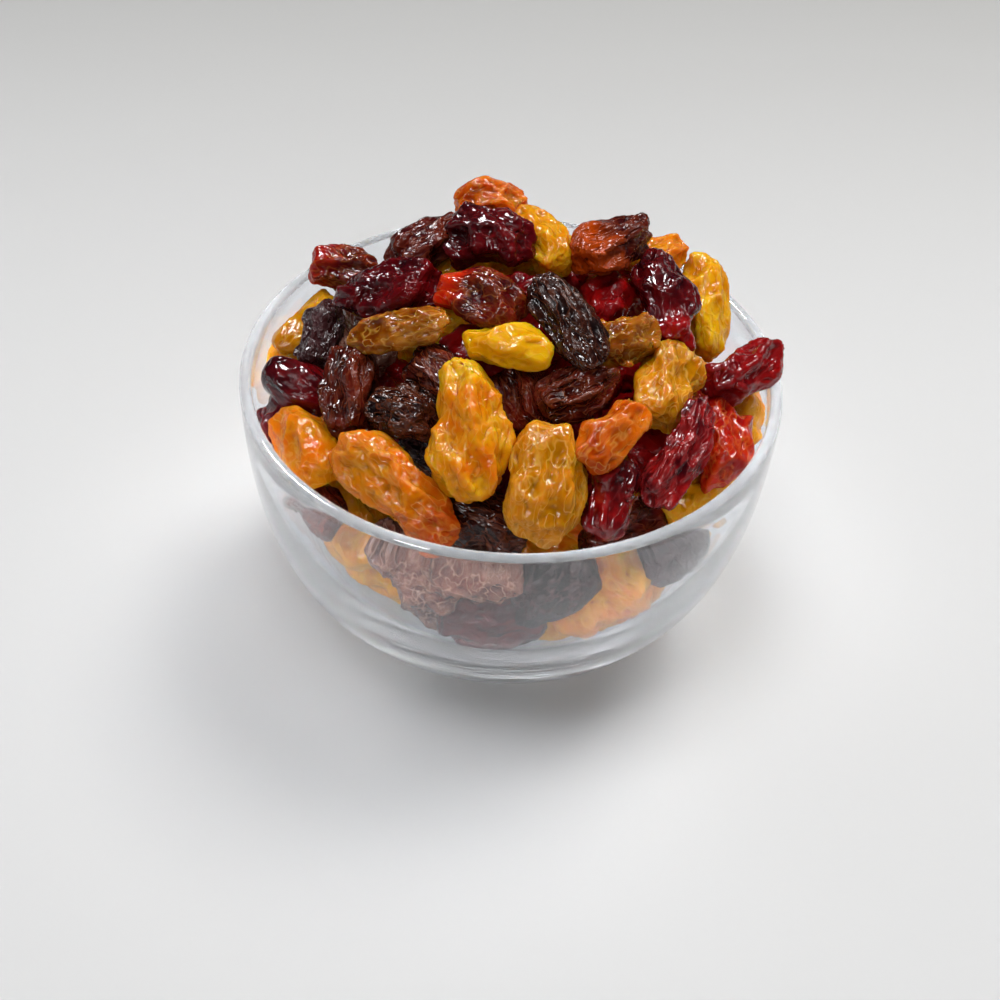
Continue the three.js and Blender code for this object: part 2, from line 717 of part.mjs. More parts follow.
// Planes between a raisin and every neighbour outside its own clump
function partingPlanes(raisins, index) {
  const raisin = raisins[index];
  const planes = [];
  raisins.forEach((other, j) => {
    const sameClump = raisin.clump >= 0 && raisin.clump === other.clump;
    if (j !== index && !sameClump && near(raisin, other, partingReach)) {
      const { direction, room } = parting(raisin, other);
      if (room < partingReach) {
        const limit = extent(raisin, direction) + room / 2 - pieceGap / 2;
        planes.push({ direction, limit: Math.max(limit, leastArm) });
      }
    }
  });
  return planes;
}

function toManifold(geometry) {
  const vertProperties = new Float32Array(geometry.getAttribute('position').array);
  const triVerts = new Uint32Array(geometry.index.array);
  return new wasm.Manifold(new wasm.Mesh({ numProp: 3, vertProperties, triVerts }));
}

function fromManifold(solid) {
  const mesh = solid.getMesh();
  const geometry = new THREE.BufferGeometry();
  geometry.setAttribute('position', new THREE.BufferAttribute(mesh.vertProperties, mesh.numProp));
  geometry.setIndex(new THREE.BufferAttribute(mesh.triVerts, 1));
  return geometry;
}

function material(color, roughness, extra) {
  return new THREE.MeshStandardMaterial({ color, roughness, metalness: 0, ...extra });
}

// Every raisin: first the listed ones, which hold their places, then the fill
const topCount = topRaisins.length;
const listed = [];
for (const row of topRaisins) {
  listed.push(onHeap(row, listed.length + 1, 'open'));
}
for (const raisin of listed) {
  raisin.freedom = topFreedom;
  raisin.pull = topPull;
}
for (const row of gapRaisins) {
  listed.push(onHeap(row, listed.length + 1, 'partly'));
}
for (const row of glassRaisins) {
  listed.push(onGlass(row, listed.length + 1));
}
for (const raisin of listed.slice(topCount)) {
  raisin.pull = listedPull;
}
const raisins = fillRaisins(listed);
settle(raisins, settleSteps, []);
const { clumps, bonds } = gather(raisins, listed.length);
settle(raisins, bondSteps, bonds);

const group = new THREE.Group();
const glass = material(0xdfe8ea, 0.05, { transparent: true, opacity: 0.35 });
const bowlMesh = new THREE.Mesh(bowlGeometry(), glass);
bowlMesh.name = 'glass_bowl';
group.add(bowlMesh);

const counts = {};
function addMesh(geometry, kind, word) {
  const label = `${kind}_${word}`;
  counts[label] = (counts[label] ?? 0) + 1;
  const mesh = new THREE.Mesh(geometry, material(kinds[kind].color, kinds[kind].roughness));
  mesh.name = `${label}_${counts[label]}`;
  group.add(mesh);
}

for (let i = 0; i < topCount; i += 1) {
  addMesh(placeSkin(raisins, i, []), raisins[i].kind, 'raisin');
}
for (const clump of clumps) {
  const solids = clump.members.map((i) => toManifold(placeSkin(raisins, i, bonds)));
  const whole = fromManifold(solids.reduce((sum, solid) => sum.add(solid)));
  addMesh(whole, clump.kind, solids.length > 1 ? 'clump' : 'raisin');
}

export default group;
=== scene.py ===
import math

import bpy
import numpy as np
from mathutils import Matrix, Quaternion, Vector


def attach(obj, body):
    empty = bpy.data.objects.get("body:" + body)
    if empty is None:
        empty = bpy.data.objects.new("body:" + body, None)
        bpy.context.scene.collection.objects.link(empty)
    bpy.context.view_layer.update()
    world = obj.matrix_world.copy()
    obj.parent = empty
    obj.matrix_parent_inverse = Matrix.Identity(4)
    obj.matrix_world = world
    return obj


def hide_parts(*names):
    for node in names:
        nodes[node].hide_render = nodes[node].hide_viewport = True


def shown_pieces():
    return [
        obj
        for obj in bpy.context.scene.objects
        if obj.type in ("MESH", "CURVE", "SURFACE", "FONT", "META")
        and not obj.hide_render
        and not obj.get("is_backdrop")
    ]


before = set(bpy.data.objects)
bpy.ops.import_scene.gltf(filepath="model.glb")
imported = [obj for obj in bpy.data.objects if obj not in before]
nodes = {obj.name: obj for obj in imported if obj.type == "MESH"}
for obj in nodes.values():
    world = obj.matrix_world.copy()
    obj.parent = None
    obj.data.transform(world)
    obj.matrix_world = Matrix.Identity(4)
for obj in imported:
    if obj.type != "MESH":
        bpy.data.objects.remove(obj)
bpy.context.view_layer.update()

mm = 0.001


def deselectAll():
    bpy.ops.object.select_all(action="DESELECT")


def makeActive(piece):
    deselectAll()
    piece.select_set(True)
    bpy.context.view_layer.objects.active = piece


def applyModifier(piece, kind, **settings):
    # adds one modifier and applies it straight away
    makeActive(piece)
    modifier = piece.modifiers.new(kind.lower(), kind)
    for setting, value in settings.items():
        setattr(modifier, setting, value)
    bpy.ops.object.modifier_apply(modifier=modifier.name)


def addNode(tree, kind, values=None, **settings):
    # one shader node, with values for its sockets by name, or by number: 6 and 7 are a mix's colours
    node = tree.nodes.new(kind)
    for setting, value in settings.items():
        setattr(node, setting, value)
    for socket, value in (values or {}).items():
        node.inputs[socket].default_value = value
    return node


# pattern of every raisin's skin: scales are turns in a mm, drift and endWander are in mm, the rest are
# factors and limits
skinPattern = {
    "driftScale": 0.45, "drift": (3.0, 1.2, 1.2), "finer": (1.7, 2.1, 2.1), "netStretch": (0.6, 1.0, 1.0),
    "longThinness": 6.0, "longPower": 1.6, "fineThinness": 5.0, "lineThinness": 4.0, "netLine": 0.16,
    "patchScale": 0.28, "patch": (0.38, 0.6), "longHeight": 0.6, "fineHeight": 0.18, "netHeight": 0.45,
    # the ridge keys lay pale lines on convex edges, partly pale skin and partly painted glints
    "mottle": (0.36, 0.64), "hollow": (0.5, 0.44), "ridge": (0.51, 0.6), "endScale": 0.22, "endWander": 8.0,
    # the hollow keys paint shade into the hollows of the skin
    "hollowShadeTint": (0.6, 0.5, 0.5), "hollowShadeShare": 0.8, "fineShare": 0.6, "netShare": 0.7, "ridgeShare": 0.5,
    "glossScale": 0.7, "glossSwing": 0.25, "lineDull": 0.06, "leastRough": 0.05,
}


# shared shader group: the wrinkled skin of a raisin
def addSocket(group, name, kind, output=False):
    side = "OUTPUT" if output else "INPUT"
    group.interface.new_socket(name=name, in_out=side, socket_type=kind)


def makeSkinGroup():
    group = bpy.data.node_groups.new("raisinSkin", "ShaderNodeTree")
    addSocket(group, "Place", "NodeSocketVector")
    for name in ("Deep", "Bright", "Ridge", "End"):
        addSocket(group, name, "NodeSocketColor")
    for name in (
        "End Start", "End Stop", "Ridge Amount", "Wrinkle Length", "Wrinkle Width", "Net Size",
        "Net Amount", "Mottle Size", "Gloss",
    ):
        addSocket(group, name, "NodeSocketFloat")
    addSocket(group, "Color", "NodeSocketColor", output=True)
    addSocket(group, "Roughness", "NodeSocketFloat", output=True)
    addSocket(group, "Height", "NodeSocketFloat", output=True)
    make = group.nodes.new
    link = group.links.new
    given = make("NodeGroupInput").outputs
    result = make("NodeGroupOutput").inputs
    look = skinPattern
    middle = 0.5

    def feed(socket, value):
        if isinstance(value, (int, float)):
            socket.default_value = value
        else:
            link(value, socket)

    def maths(operation, first, second=0.0, clamp=False):
        node = make("ShaderNodeMath")
        node.operation = operation
        node.use_clamp = clamp
        feed(node.inputs[0], first)
        feed(node.inputs[1], second)
        return node.outputs[0]

    def vectors(operation, first, second):
        node = make("ShaderNodeVectorMath")
        node.operation = operation
        link(first, node.inputs[0])
        if isinstance(second, tuple):
            node.inputs[1].default_value = second
        else:
            link(second, node.inputs[1])
        return node.outputs[0]

    def ramp(value, low, high):
        node = make("ShaderNodeMapRange")
        feed(node.inputs["Value"], value)
        feed(node.inputs["From Min"], low)
        feed(node.inputs["From Max"], high)
        return node.outputs[0]

    def blend(share, first, second):
        node = make("ShaderNodeMix")
        node.data_type = "RGBA"
        feed(node.inputs[0], share)
        link(first, node.inputs[6])
        link(second, node.inputs[7])
        return node.outputs[2]

    def noiseAt(place, scale, detail=1.0):
        node = make("ShaderNodeTexNoise")
        link(place, node.inputs["Vector"])
        feed(node.inputs["Scale"], scale)
        node.inputs["Detail"].default_value = detail
        return node

    def creaseAt(place, thinness):
        # crests that wander where a noise crosses its middle, and a thin line along each
        field = noiseAt(place, 1.0).outputs["Fac"]
        away = maths("ABSOLUTE", maths("SUBTRACT", field, middle))
        crest = maths("SUBTRACT", 1.0, maths("MULTIPLY", away, thinness), True)
        line = maths("SUBTRACT", 1.0, maths("MULTIPLY", away, thinness * look["lineThinness"]), True)
        return crest, line

    place = given["Place"]
    stretch = make("ShaderNodeCombineXYZ")
    feed(stretch.inputs[0], maths("DIVIDE", 1.0, given["Wrinkle Length"]))
    feed(stretch.inputs[1], maths("DIVIDE", 1.0, given["Wrinkle Width"]))
    feed(stretch.inputs[2], maths("DIVIDE", 1.0, given["Wrinkle Width"]))
    drift = vectors("MULTIPLY", noiseAt(place, look["driftScale"]).outputs["Color"], look["drift"])
    wandered = vectors("ADD", place, drift)
    folded = vectors("MULTIPLY", wandered, stretch.outputs[0])
    finer = vectors("MULTIPLY", folded, look["finer"])

    # wrinkles: long wandering crests, finer ones between them, and a net of joining lines
    crest, longLine = creaseAt(folded, look["longThinness"])
    long = maths("POWER", crest, look["longPower"])
    fine, fineLine = creaseAt(finer, look["fineThinness"])
    net = make("ShaderNodeTexVoronoi")
    net.feature = "DISTANCE_TO_EDGE"
    link(vectors("MULTIPLY", wandered, look["netStretch"]), net.inputs["Vector"])
    feed(net.inputs["Scale"], maths("DIVIDE", 1.0, given["Net Size"]))
    netLine = maths("SUBTRACT", 1.0, ramp(net.outputs["Distance"], 0.0, look["netLine"]), True)
    patch = ramp(noiseAt(place, look["patchScale"]).outputs["Fac"], *look["patch"])
    netLine = maths("MULTIPLY", netLine, maths("MULTIPLY", patch, given["Net Amount"]))
    longHeight = maths("MULTIPLY", long, look["longHeight"])
    height = maths("ADD", longHeight, maths("MULTIPLY", fine, look["fineHeight"]))
    height = maths("ADD", height, maths("MULTIPLY", netLine, look["netHeight"]))
    link(height, result["Height"])

    # colour drifts over the skin, has painted shade in the hollows, and is paler along the lines, which are
    # partly pale skin and partly painted glints
    mottleScale = maths("DIVIDE", 1.0, given["Mottle Size"])
    mottle = ramp(noiseAt(place, mottleScale, 3.0).outputs["Fac"], *look["mottle"])
    bend = make("ShaderNodeNewGeometry").outputs["Pointiness"]
    hollow = ramp(bend, *look["hollow"])
    ridge = ramp(bend, *look["ridge"])
    color = blend(mottle, given["Deep"], given["Bright"])
    split = make("ShaderNodeSeparateXYZ")
    link(place, split.inputs[0])
    wander = maths("SUBTRACT", noiseAt(place, look["endScale"]).outputs["Fac"], middle)
    wander = maths("MULTIPLY", wander, look["endWander"])
    atEnd = ramp(maths("ADD", split.outputs[0], wander), given["End Start"], given["End Stop"])
    color = blend(atEnd, color, given["End"])
    # painted shade: the hollows are darkened towards a dimmed copy of the deep tint
    shade = vectors("MULTIPLY", given["Deep"], look["hollowShadeTint"])
    color = blend(maths("MULTIPLY", hollow, look["hollowShadeShare"]), color, shade)
    fineLine = maths("MULTIPLY", fineLine, maths("MULTIPLY", patch, look["fineShare"]))
    line = maths("MAXIMUM", longLine, fineLine)
    line = maths("MAXIMUM", line, maths("MULTIPLY", netLine, look["netShare"]))
    line = maths("MAXIMUM", line, maths("MULTIPLY", ridge, look["ridgeShare"]))
    # pale lines: partly the skin's pale folds, partly painted glints on the crests and convex edges
    color = blend(maths("MULTIPLY", line, given["Ridge Amount"]), color, given["Ridge"])
    link(color, result["Color"])

    # gloss is uneven, a little duller along the lines
    dull = maths("SUBTRACT", noiseAt(place, look["glossScale"]).outputs["Fac"], middle)
    dull = maths("MULTIPLY", dull, look["glossSwing"])
    rough = maths("ADD", maths("ADD", given["Gloss"], dull), maths("MULTIPLY", line, look["lineDull"]))
    link(maths("MAXIMUM", rough, look["leastRough"], True), result["Roughness"])
    return group


print("raisin skin shader")
skinGroup = makeSkinGroup()

# tints of the skins, as they look in plain daylight; the pale tints laid along the ridges stand partly for
# the skin's pale folds and partly for painted glints
tints = {
    "lemon": (222, 168, 2), "gold": (214, 148, 1), "honey": (206, 126, 1), "olive": (180, 114, 1),
    "toffee": (156, 88, 2), "bronze": (112, 46, 1), "orange": (214, 106, 2), "rust": (170, 60, 1),
    "cream": (246, 200, 96), "peach": (240, 140, 60), "flame": (194, 36, 6), "cherry": (146, 9, 10),
    "wine": (94, 3, 9), "plum": (46, 2, 8), "maroon": (88, 12, 5), "umber": (42, 4, 2), "soot": (36, 8, 7),
    "ink": (14, 3, 4), "tan": (164, 84, 44), "rose": (172, 54, 54), "mauve": (124, 92, 92),
    # cocoa, mocha, fawn and slate are painted paler for the clumps, standing for the glass's reflection
    # over them
    "cocoa": (70, 26, 18), "mocha": (116, 62, 48), "fawn": (200, 160, 138), "slate": (72, 56, 58),
}


def tone(name):
    # tint as linear light
    def linear(share):
        return share / 12.92 if share < 0.04045 else ((share + 0.055) / 1.055) ** 2.4

    return tuple(linear(value / 255) for value in tints[name])


# each kind of raisin: its tints, its wrinkles in mm, its gloss, and how deep light sinks in, in mm
kindLooks = {
    "golden": {
        "deep": "honey", "bright": "gold", "ridge": "cream", "ridgeAmount": 0.25, "mottle": 4.0,
        "wrinkle": (3.6, 1.7), "net": (1.9, 0.7), "bump": 0.17, "gloss": 0.15, "shine": 0.22,
        "sink": 0.9, "sinkDepth": 2.6, "sinkColor": (1.0, 0.42, 0.03),
    },
    "amber": {
        "deep": "rust", "bright": "honey", "ridge": "cream", "ridgeAmount": 0.25, "mottle": 4.5,
        "wrinkle": (3.8, 1.7), "net": (1.9, 0.7), "bump": 0.17, "gloss": 0.15, "shine": 0.22,
        "sink": 0.9, "sinkDepth": 2.6, "sinkColor": (1.0, 0.34, 0.02),
    },
    "ruby": {
        "deep": "cherry", "bright": "flame", "ridge": "peach", "ridgeAmount": 0.2, "mottle": 4.5,
        "wrinkle": (4.0, 1.9), "net": (2.2, 0.5), "bump": 0.18, "gloss": 0.13, "shine": 0.32,
        "sink": 0.8, "sinkDepth": 2.2, "sinkColor": (1.0, 0.12, 0.02),
    },
    "crimson": {
        "deep": "plum", "bright": "wine", "ridge": "rose", "ridgeAmount": 0.15, "mottle": 4.5,
        "wrinkle": (5.0, 2.2), "net": (2.6, 0.4), "bump": 0.20, "gloss": 0.12, "shine": 0.4,
        "sink": 0.4, "sinkDepth": 1.6, "sinkColor": (1.0, 0.08, 0.04),
    },
    "brown": {
        "deep": "umber", "bright": "maroon", "ridge": "tan", "ridgeAmount": 0.28, "mottle": 3.2,
        "wrinkle": (3.2, 1.25), "net": (1.5, 0.9), "bump": 0.24, "gloss": 0.14, "shine": 0.36,
        "sink": 0.0, "sinkDepth": 0.8, "sinkColor": (1.0, 0.2, 0.08),
    },
    "black": {
        "deep": "ink", "bright": "soot", "ridge": "mauve", "ridgeAmount": 0.3, "mottle": 3.0,
        "wrinkle": (3.6, 1.3), "net": (1.5, 0.8), "bump": 0.26, "gloss": 0.14, "shine": 0.36,
        "sink": 0.0, "sinkDepth": 0.5, "sinkColor": (1.0, 0.3, 0.2),
    },
}
# what sets a raisin on top apart from its kind: an end of another tint runs from one place to another
# along it, in mm from its middle, and its relief is a share of its kind's
ownLooks = {
    "amber_raisin_1": {"bright": "orange"},
    "brown_raisin_1": {"deep": "plum", "relief": 0.9},
    "ruby_raisin_1": {"deep": "plum", "bright": "wine", "end": "cherry", "endAt": (0, -4)},
    "crimson_raisin_2": {"wrinkle": (4.0, 1.4)},
    "golden_raisin_2": {"deep": "olive", "relief": 0.6},
    "black_raisin_1": {"deep": "soot", "bright": "plum", "wrinkle": (2.6, 0.9)},
    "amber_raisin_2": {"deep": "bronze", "bright": "toffee", "ridgeAmount": 0.35, "relief": 0.8},
    "ruby_raisin_2": {"deep": "plum", "bright": "wine", "end": "flame", "endAt": (-2, -5)},
    "black_raisin_2": {"ridge": "tan", "ridgeAmount": 0.2, "wrinkle": (4.5, 1.4), "shine": 0.6},
    "golden_raisin_3": {"deep": "gold", "bright": "lemon", "relief": 0.7, "net": (2.2, 0.3), "shine": 0.15},
    "brown_raisin_2": {"deep": "plum", "end": "rust", "endAt": (0, -4)},
    "golden_raisin_4": {"bright": "orange"},
    "crimson_raisin_3": {"end": "cherry", "endAt": (4, 8), "shine": 0.6},
    "golden_raisin_5": {"bright": "lemon", "relief": 0.8, "net": (2.2, 0.5), "shine": 0.15},
    "amber_raisin_3": {"deep": "bronze", "bright": "toffee"},
    "amber_raisin_4": {"deep": "olive", "ridgeAmount": 0.45},
    "crimson_raisin_4": {"deep": "wine", "bright": "cherry", "ridgeAmount": 0.3},
    "crimson_raisin_5": {"relief": 0.45, "wrinkle": (6.0, 2.6)},
    "brown_raisin_3": {"wrinkle": (5.0, 1.4), "bump": 0.28},
    "brown_raisin_4": {"deep": "ink", "bright": "umber", "ridgeAmount": 0.3},
    "brown_raisin_5": {"ridgeAmount": 0.5, "shine": 0.5},
    "amber_raisin_5": {"deep": "orange", "bright": "gold", "end": "lemon", "endAt": (-5, -8)},
    "brown_raisin_6": {"ridgeAmount": 0.35},
    "amber_raisin_6": {"deep": "orange", "relief": 0.6, "net": (3.0, 0.3), "shine": 0.12},
    "amber_raisin_7": {"deep": "honey", "bright": "orange", "end": "rust", "endAt": (2, 8)},
    "golden_raisin_6": {"deep": "olive", "bright": "honey", "ridgeAmount": 0.4, "relief": 0.8},
    "amber_raisin_8": {"bright": "orange", "relief": 0.8},
    "crimson_raisin_6": {"bright": "cherry", "shine": 0.8},
    "brown_raisin_7": {
        "deep": "plum", "bright": "cherry", "ridge": "rose", "ridgeAmount": 0.45, "wrinkle": (7.0, 1.6),
    },
    "ruby_raisin_3": {"ridgeAmount": 0.3},
    "brown_raisin_8": {"deep": "ink", "bright": "umber", "wrinkle": (4.5, 1.3), "ridgeAmount": 0.25},
}
# the clumps lie low in the bowl and show through the glass; their tints are painted paler as a painted
# reflection of the glass's milky veil
clumpLooksPaintedVeil = {
    "brown": {"deep": "cocoa", "bright": "mocha", "ridge": "fawn", "ridgeAmount": 0.5},
    "black": {"deep": "soot", "bright": "slate"},
    "crimson": {"deep": "wine", "bright": "cherry"},
    "amber": {"deep": "orange", "bright": "gold"},
}
# an end this far out tints nothing
noEnd = (90, 91)
skinIor = 1.47


def lookOf(name):
    kind = name.split("_")[0]
    own = clumpLooksPaintedVeil.get(kind, {}) if "clump" in name else ownLooks.get(name, {})
    return {"relief": 1.0, "endAt": noEnd, **kindLooks[kind], **own}


def makeSkin(name, look, centre, axes):
    material = bpy.data.materials.new(name)
    material.use_nodes = True
    tree = material.node_tree
    tree.nodes.clear()
    link = tree.links.new
    place = addNode(tree, "ShaderNodeTexCoord")
    frameOfPiece = addNode(tree, "ShaderNodeMapping", vector_type="TEXTURE", values={
        "Location": centre, "Rotation": axes.to_euler(), "Scale": (mm, mm, mm),
    })
    link(place.outputs["Object"], frameOfPiece.inputs["Vector"])
    skin = addNode(tree, "ShaderNodeGroup", node_tree=skinGroup)
    link(frameOfPiece.outputs[0], skin.inputs["Place"])
    for socket, key in (("Deep", "deep"), ("Bright", "bright"), ("Ridge", "ridge"), ("End", "end")):
        skin.inputs[socket].default_value = (*tone(look.get(key, look["bright"])), 1)
    values = {
        "End Start": look["endAt"][0], "End Stop": look["endAt"][1], "Ridge Amount": look["ridgeAmount"],
        "Wrinkle Length": look["wrinkle"][0], "Wrinkle Width": look["wrinkle"][1],
        "Net Size": look["net"][0], "Net Amount": look["net"][1],
        "Mottle Size": look["mottle"], "Gloss": look["gloss"],
    }
    for socket, value in values.items():
        skin.inputs[socket].default_value = value
    shader = addNode(tree, "ShaderNodeBsdfPrincipled", {
        "Subsurface Weight": look["sink"], "Subsurface Radius": look["sinkColor"],
        "Subsurface Scale": look["sinkDepth"] * mm, "IOR": skinIor, "Specular IOR Level": look["shine"],
    })
    link(skin.outputs["Color"], shader.inputs["Base Color"])
    link(skin.outputs["Roughness"], shader.inputs["Roughness"])
    bump = addNode(tree, "ShaderNodeBump", {"Strength": 1, "Distance": look["bump"] * look["relief"] * mm})
    link(skin.outputs["Height"], bump.inputs["Height"])
    link(bump.outputs[0], shader.inputs["Normal"])
    output = addNode(tree, "ShaderNodeOutputMaterial")
    link(shader.outputs[0], output.inputs["Surface"])
    return material


# folds of each kind, from broad to fine: pattern, size along and across in mm, depth in mm
kindFolds = {
    "golden": [("lumps", 7.0, 5.0, 1.2), ("ridges", 5.4, 3.8, 1.2), ("cells", 3.0, 1.8, 0.30)],
    "amber": [("lumps", 7.0, 5.0, 1.3), ("ridges", 5.8, 3.8, 1.3), ("cells", 3.0, 1.8, 0.30)],
    "ruby": [("lumps", 7.0, 5.0, 1.2), ("ridges", 6.5, 4.2, 1.4), ("cells", 2.6, 1.7, 0.22)],
    "crimson": [("lumps", 7.0, 4.4, 1.3), ("ridges", 6.5, 3.8, 1.5), ("cells", 2.6, 1.5, 0.25)],
    "brown": [("lumps", 7.0, 4.0, 1.3), ("ridges", 8.0, 2.8, 1.1), ("ridges", 3.6, 1.4, 0.4)],
    "black": [("lumps", 7.0, 4.0, 1.0), ("ridges", 7.0, 2.5, 1.0), ("ridges", 3.2, 1.3, 0.4)],
}
# noise of each pattern
foldNoise = {
    "lumps": {
        "kind": "DISTORTED_NOISE", "noise_basis": "ORIGINAL_PERLIN", "noise_distortion": "ORIGINAL_PERLIN",
        "distortion": 0.5,
    },
    "ridges": {
        "kind": "MUSGRAVE", "musgrave_type": "RIDGED_MULTIFRACTAL", "noise_basis": "ORIGINAL_PERLIN",
        "octaves": 1.6, "lacunarity": 2.2, "dimension_max": 1.2, "offset": 1, "gain": 1,
    },
    "cells": {
        "kind": "DISTORTED_NOISE", "noise_basis": "VORONOI_F2_F1", "noise_distortion": "ORIGINAL_PERLIN",
        "distortion": 0.8,
    },
}
# value of each pattern that leaves the skin where it is, and the way that it moves the skin
foldRest = {"lumps": 0.0, "ridges": 1.0, "cells": -1.0}
foldSense = {"lumps": 1, "ridges": 1, "cells": -1}
# how a skin is meshed, in mm, with fill as its volume against the solid's. Each raisin and each fold
# takes its noise from its own place, a step apart in metres
meshing = {
    "merge": 0.02, "levels": 2, "singleVoxel": 0.28, "clumpVoxel": 0.44, "smoothing": 4, "swell": 0.5,
    "fill": 1.12, "pieceStep": 0.37, "foldStep": 0.11,
}


def makeFoldTextures():
    textures = {}
    for name, noise in foldNoise.items():
        textures[name] = bpy.data.textures.new(name, noise["kind"])
        for setting, value in noise.items():
            if setting != "kind":
                setattr(textures[name], setting, value)
        textures[name].noise_scale = 1
        textures[name].use_clamp = False
    return textures


foldTextures = makeFoldTextures()
bpy.ops.object.empty_add()
guide = bpy.context.object
guide.name = "foldGuide"


def lieOf(piece):
    # middle and long, broad and thin axes of a piece
    points = np.empty(len(piece.data.vertices) * 3)
    piece.data.vertices.foreach_get("co", points)
    points = points.reshape(-1, 3)
    middle = points.mean(0)
    _, vectors = np.linalg.eigh(np.cov((points - middle).T))
    long = Vector(vectors[:, 2])
    thin = Vector(vectors[:, 0])
    # the long axis points to the right and a little to the front
    if long.dot(Vector((1, -0.4, 0))) < 0:
        long = -long
    if thin.z < 0:
        thin = -thin
    axes = Matrix((long, thin.cross(long), thin)).transposed()
    return Vector(middle), axes


def fullness(piece):
    # volume and area of a closed mesh of triangles or quads
    mesh = piece.data
    mesh.calc_loop_triangles()
    points = np.empty(len(mesh.vertices) * 3)
    mesh.vertices.foreach_get("co", points)
    corners = np.empty(len(mesh.loop_triangles) * 3, dtype=np.int32)
    mesh.loop_triangles.foreach_get("vertices", corners)
    a, b, c = points.reshape(-1, 3)[corners.reshape(-1, 3).T]
    turned = np.cross(b - a, c - a)
    return (a * turned).sum() / 6, np.linalg.norm(turned, axis=1).sum() / 2


# glass bowl, in mm: clear is the room between the skins and the glass
bowl = {
    "rimRadius": 40.0, "height": 40.0, "wall": 1.8, "base": 3.2, "foot": 20.0, "well": 16.0,
    "roundness": 2.5, "wallSteps": 26, "rimSteps": 10, "turns": 144, "merge": 0.002, "clear": 0.1,
}


def wallPoints(topRadius, topHeight, flatRadius, flatHeight):
    # radius and height along a side that bends from the rim into the flat of the foot or the well
    points = []
    steps = bowl["wallSteps"]
    for i in range(steps + 1):
        angle = i / steps * math.pi / 2
        reach = 0 if i == steps else math.cos(angle) ** (2 / bowl["roundness"])
        drop = math.sin(angle) ** (2 / bowl["roundness"])
        radius = flatRadius + (topRadius - flatRadius) * reach
        points.append((radius, topHeight - (topHeight - flatHeight) * drop))
    return points


def keepInside(piece):
    # a skin stays just clear of the glass, whose lip is round
    clear = bowl["clear"]
    lip = bowl["wall"] / 2
    shoulder = bowl["height"] - lip
    points = np.empty(len(piece.data.vertices) * 3)
    piece.data.vertices.foreach_get("co", points)
    points = points.reshape(-1, 3) / mm
    reach = np.hypot(points[:, 0], points[:, 1])
    height = points[:, 2]
    inner = wallPoints(bowl["rimRadius"] - bowl["wall"], shoulder, bowl["well"], bowl["base"])[::-1]
    wallLimit = np.interp(height, [z for _, z in inner], [r for r, _ in inner]) - clear
    lipRound = np.sqrt(np.clip((lip + clear) ** 2 - (height - shoulder) ** 2, 0, None))
    lipLimit = bowl["rimRadius"] - lip - lipRound
    inLip = (height >= shoulder) & (height < bowl["height"]) & (reach < bowl["rimRadius"])
    limit = np.where(inLip, lipLimit, np.where(height < shoulder, wallLimit, reach))
    points[:, :2] *= np.minimum(1, limit / np.maximum(reach, clear))[:, None]
    points[:, 2] = np.maximum(height, bowl["base"] + clear)
    piece.data.vertices.foreach_set("co", (points * mm).ravel())
    piece.data.update()


def makeRaisin(name, number):
    kind = name.split("_")[0]
    single = "raisin" in name
    look = lookOf(name)
    mesh = nodes[name].data.copy()
    mesh.materials.clear()
    piece = bpy.data.objects.new(name + "_skin", mesh)
    bpy.context.scene.collection.objects.link(piece)
    makeActive(piece)
    bpy.ops.object.mode_set(mode="EDIT")
    bpy.ops.mesh.select_all(action="SELECT")
    bpy.ops.mesh.remove_doubles(threshold=meshing["merge"] * mm)
    bpy.ops.object.mode_set(mode="OBJECT")
    middle, axes = lieOf(piece)
    solidVolume, _ = fullness(piece)
    applyModifier(piece, "SUBSURF", levels=meshing["levels"], render_levels=meshing["levels"])
    applyModifier(piece, "DISPLACE", strength=meshing["swell"] * mm, mid_level=0.0)
    voxel = meshing["singleVoxel"] if single else meshing["clumpVoxel"]
    applyModifier(piece, "REMESH", mode="VOXEL", voxel_size=voxel * mm)
    applyModifier(piece, "SMOOTH", factor=0.5, iterations=meshing["smoothing"])
    for step, (pattern, along, across, depth) in enumerate(kindFolds[kind]):
        if not single:
            along = (along + across) / 2
        shift = Vector((number * meshing["pieceStep"], step * meshing["foldStep"], 0))
        guide.matrix_world = (
            Matrix.Translation(middle + shift)
            @ axes.to_4x4()
            @ Matrix.Diagonal((along * mm, across * mm, across * mm, 1))
        )
        bpy.context.view_layer.update()
        applyModifier(
            piece, "DISPLACE", texture=foldTextures[pattern], texture_coords="OBJECT",
            texture_coords_object=guide, mid_level=foldRest[pattern],
            strength=foldSense[pattern] * depth * look["relief"] * mm,
        )
    applyModifier(piece, "SMOOTH", factor=0.5, iterations=1)
    volume, area = fullness(piece)
    outwards = (solidVolume * meshing["fill"] - volume) / area
    applyModifier(piece, "DISPLACE", strength=outwards, mid_level=0.0)
    keepInside(piece)
    makeActive(piece)
    bpy.ops.object.shade_smooth()
    piece.data.materials.append(makeSkin(name + "_skin", look, middle, axes))
    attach(piece, "root")
    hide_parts(name)


raisinNames = sorted(name for name in nodes if name != "glass_bowl")
for number, name in enumerate(raisinNames):
    makeRaisin(name, number)
print("raisins", len(raisinNames))
bpy.data.objects.remove(guide)


